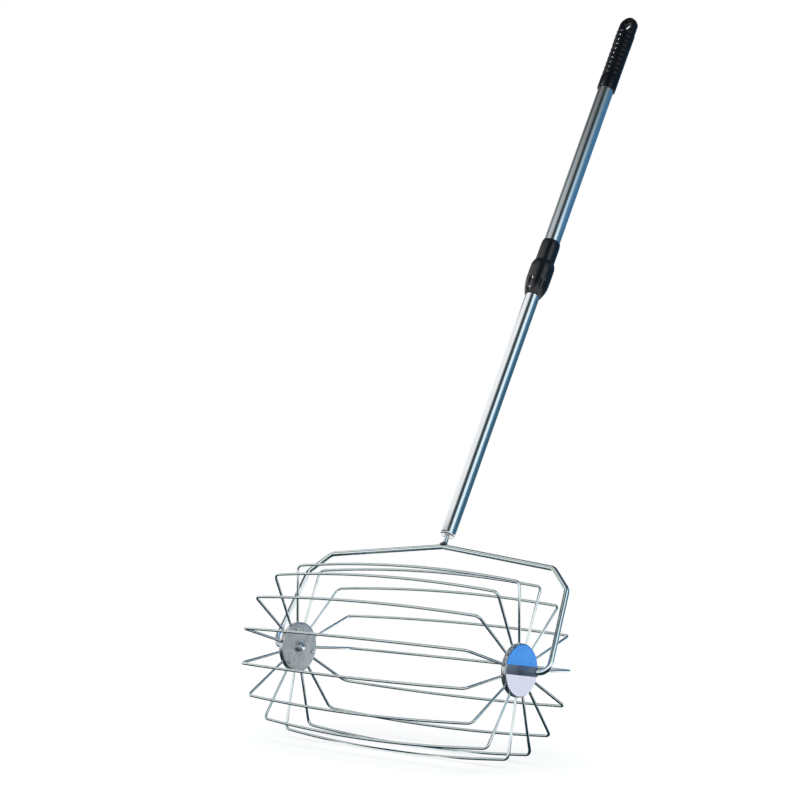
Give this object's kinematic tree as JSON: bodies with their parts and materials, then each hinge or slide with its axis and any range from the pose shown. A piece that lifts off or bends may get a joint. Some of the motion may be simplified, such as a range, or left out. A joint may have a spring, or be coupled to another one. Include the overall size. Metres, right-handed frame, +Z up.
{
  "type": "pickleball ball collector",
  "caption": "Roller basket of bowed wires that spins in a bent rod yoke on a telescopic pole, and picks up balls as it is rolled over them.",
  "frame": {"origin": "middle of the whole tool's footprint, at the floor that the cage stands on", "axes": "+X along the cage's axle towards its right end, +Y the way the pole leans back, +Z up"},
  "size_m": [0.5124, 0.7027, 1.1126],
  "materials": {
    "bright_wire": "bright drawn stainless wire and rod",
    "polished_tube": "polished stainless tube",
    "hub_metal": "turned and pressed steel plate",
    "badge": "gloss plate, blue above, slate across its middle and pale below",
    "black_plastic": "satin black moulding",
    "bush_plastic": "dark bearing plastic",
    "guide_plastic": "natural slide plastic"
  },
  "bodies": {
    "handle": {"grip": "black_plastic", "upper_tube": "polished_tube", "lock_sleeve": "black_plastic"},
    "twist_collar": {"twist_collar": "black_plastic"},
    "clamp_ring": {"clamp_ring": "guide_plastic"},
    "lower_pole": {"lower_tube": "polished_tube", "guide_plug": "guide_plastic", "tube_plug": "hub_metal", "neck_stud": "bright_wire", "yoke": "bright_wire", "axle_washer_right": "hub_metal", "axle_washer_left": "hub_metal", "axle_clip_right": "hub_metal", "axle_clip_left": "hub_metal"},
    "cage": {"cage_wire_01": "bright_wire", "cage_wire_02": "bright_wire", "cage_wire_03": "bright_wire", "cage_wire_04": "bright_wire", "cage_wire_05": "bright_wire", "cage_wire_06": "bright_wire", "cage_wire_07": "bright_wire", "cage_wire_08": "bright_wire", "cage_wire_09": "bright_wire", "cage_wire_10": "bright_wire", "cage_wire_11": "bright_wire", "cage_wire_12": "bright_wire", "cage_wire_13": "bright_wire", "cage_wire_14": "bright_wire", "cage_wire_15": "bright_wire", "hub_body_right": "hub_metal", "hub_body_left": "hub_metal", "hub_inner_plate_right": "hub_metal", "hub_inner_plate_left": "hub_metal", "hub_badge_right": "badge", "hub_badge_left": "badge", "hub_bush_right": "bush_plastic", "hub_bush_left": "bush_plastic", "hub_rivet_right_1": "hub_metal", "hub_rivet_right_2": "hub_metal", "hub_rivet_right_3": "hub_metal", "hub_rivet_left_1": "hub_metal", "hub_rivet_left_2": "hub_metal", "hub_rivet_left_3": "hub_metal"}
  },
  "joints": [
    {"name": "pole_slide", "type": "slide", "parent": "handle", "child": "lower_pole", "axis": [0, 0.5, 0.866], "range_m": [0, 0.39]},
    {"name": "collar_turn", "type": "hinge", "parent": "handle", "child": "twist_collar", "pos_m": [0, 0.09773, 0.67936], "axis": [0, 0.5, 0.866], "range_deg": [0, 90]},
    {"name": "clamp_ring_travel", "type": "slide", "parent": "handle", "child": "clamp_ring", "axis": [0, -0.5, -0.866], "range_m": [0, 0.0016]},
    {"name": "cage_spin", "type": "hinge", "parent": "lower_pole", "child": "cage", "pos_m": [0, -0.21965, 0.12965], "axis": [1, 0, 0], "continuous": true}
  ],
  "couplings": [
    {"joint": "clamp_ring_travel", "follows": "collar_turn", "m_per_rad": 0.000954}
  ]
}
